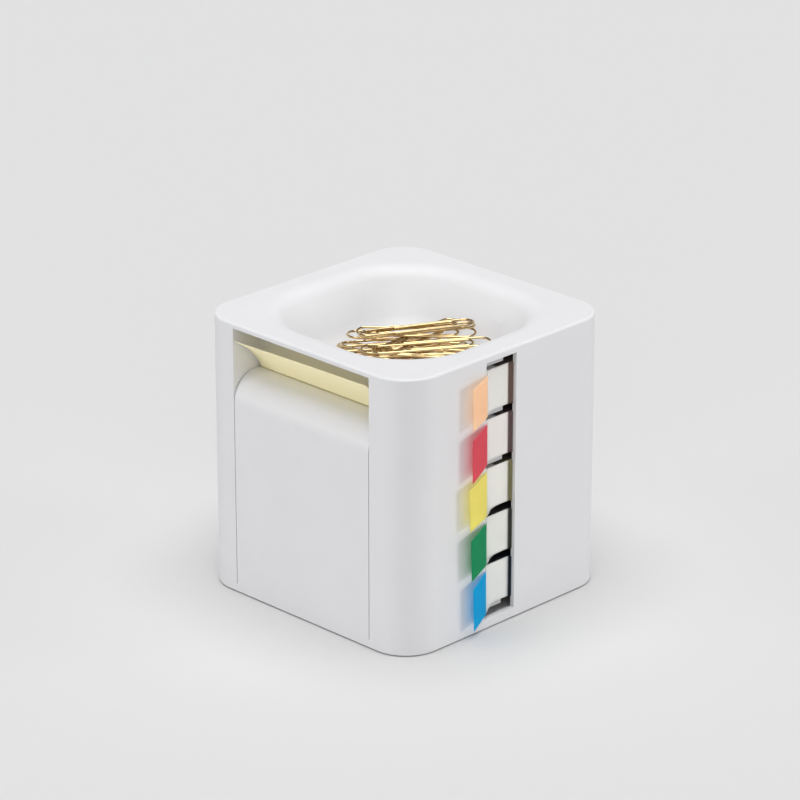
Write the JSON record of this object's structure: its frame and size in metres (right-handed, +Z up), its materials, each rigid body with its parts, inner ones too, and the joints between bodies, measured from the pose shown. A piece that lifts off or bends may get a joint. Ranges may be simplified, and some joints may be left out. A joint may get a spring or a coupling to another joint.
{
  "type": "sticky note dispenser organizer",
  "caption": "White desk cube with a soft square dish for clips, a front mouth that pops up notes and a side slot that feeds film flags.",
  "frame": {"origin": "on the surface the rubber pad stands on, under the middle of the body", "axes": "+Z up, -Y towards the front with the note mouth, +X towards the side with the flag slot"},
  "size_m": [0.1241, 0.1204, 0.12],
  "materials": {
    "white_shell": "semi-gloss moulded ABS",
    "inner_white": "plain moulded ABS",
    "base_grey": "moulded ABS, light grey",
    "yellow_paper": "matt note paper",
    "film_white": "translucent film",
    "film_blue": "tinted translucent film",
    "film_green": "tinted translucent film",
    "film_yellow": "tinted translucent film",
    "film_red": "tinted translucent film",
    "film_orange": "tinted translucent film",
    "gold_wire": "bright plated wire",
    "spring_steel": "spring wire and strip",
    "screw_steel": "zinc-plated",
    "ballast_steel": "plain steel plate",
    "rubber_pad": "matt black"
  },
  "bodies": {
    "base": {"base_plate": "base_grey", "non_slip_pad": "rubber_pad", "ballast_plate": "ballast_steel", "ballast_clips": "spring_steel"},
    "shell": {"outer_shell": "white_shell", "note_pad": "yellow_paper", "note_carrier": "inner_white", "pusher_spring_left": "spring_steel", "pusher_spring_right": "spring_steel", "carrier_screws": "screw_steel", "flag_rack": "inner_white", "flag_springs": "spring_steel", "rack_screws": "screw_steel", "flag_pad_blue": "film_white", "flag_pad_green": "film_white", "flag_pad_yellow": "film_white", "flag_pad_red": "film_white", "flag_pad_orange": "film_white"},
    "pusher": {"note_pusher": "inner_white"},
    "top_note": {"popped_note": "yellow_paper"},
    "clips": {"paper_clips": "gold_wire"},
    "pulled_blue": {"flag_blue": "film_blue"},
    "pulled_green": {"flag_green": "film_green"},
    "pulled_yellow": {"flag_yellow": "film_yellow"},
    "pulled_red": {"flag_red": "film_red"},
    "pulled_orange": {"flag_orange": "film_orange"}
  },
  "joints": [
    {"name": "shell_lift", "type": "slide", "parent": "base", "child": "shell", "axis": [0, 0, 1], "range_m": [0, 0.06]},
    {"name": "pusher_press", "type": "slide", "parent": "shell", "child": "pusher", "axis": [0, 1, 0], "range_m": [0, 0.006], "stiffness_N_per_m": 150, "springref_m": -0.006, "deforming": ["pusher_spring_left", "pusher_spring_right"]},
    {"name": "note_pull", "type": "slide", "parent": "shell", "child": "top_note", "axis": [0, -0.7314, 0.682], "range_m": [0, 0.03]},
    {"name": "clips_lift", "type": "slide", "parent": "shell", "child": "clips", "axis": [0, 0, 1], "range_m": [0, 0.05]},
    {"name": "blue_pull", "type": "slide", "parent": "shell", "child": "pulled_blue", "axis": [0.5446, -0.8387, 0], "range_m": [0, 0.03]},
    {"name": "green_pull", "type": "slide", "parent": "shell", "child": "pulled_green", "axis": [0.5446, -0.8387, 0], "range_m": [0, 0.03]},
    {"name": "yellow_pull", "type": "slide", "parent": "shell", "child": "pulled_yellow", "axis": [0.5446, -0.8387, 0], "range_m": [0, 0.03]},
    {"name": "red_pull", "type": "slide", "parent": "shell", "child": "pulled_red", "axis": [0.5446, -0.8387, 0], "range_m": [0, 0.03]},
    {"name": "orange_pull", "type": "slide", "parent": "shell", "child": "pulled_orange", "axis": [0.5446, -0.8387, 0], "range_m": [0, 0.03]}
  ]
}
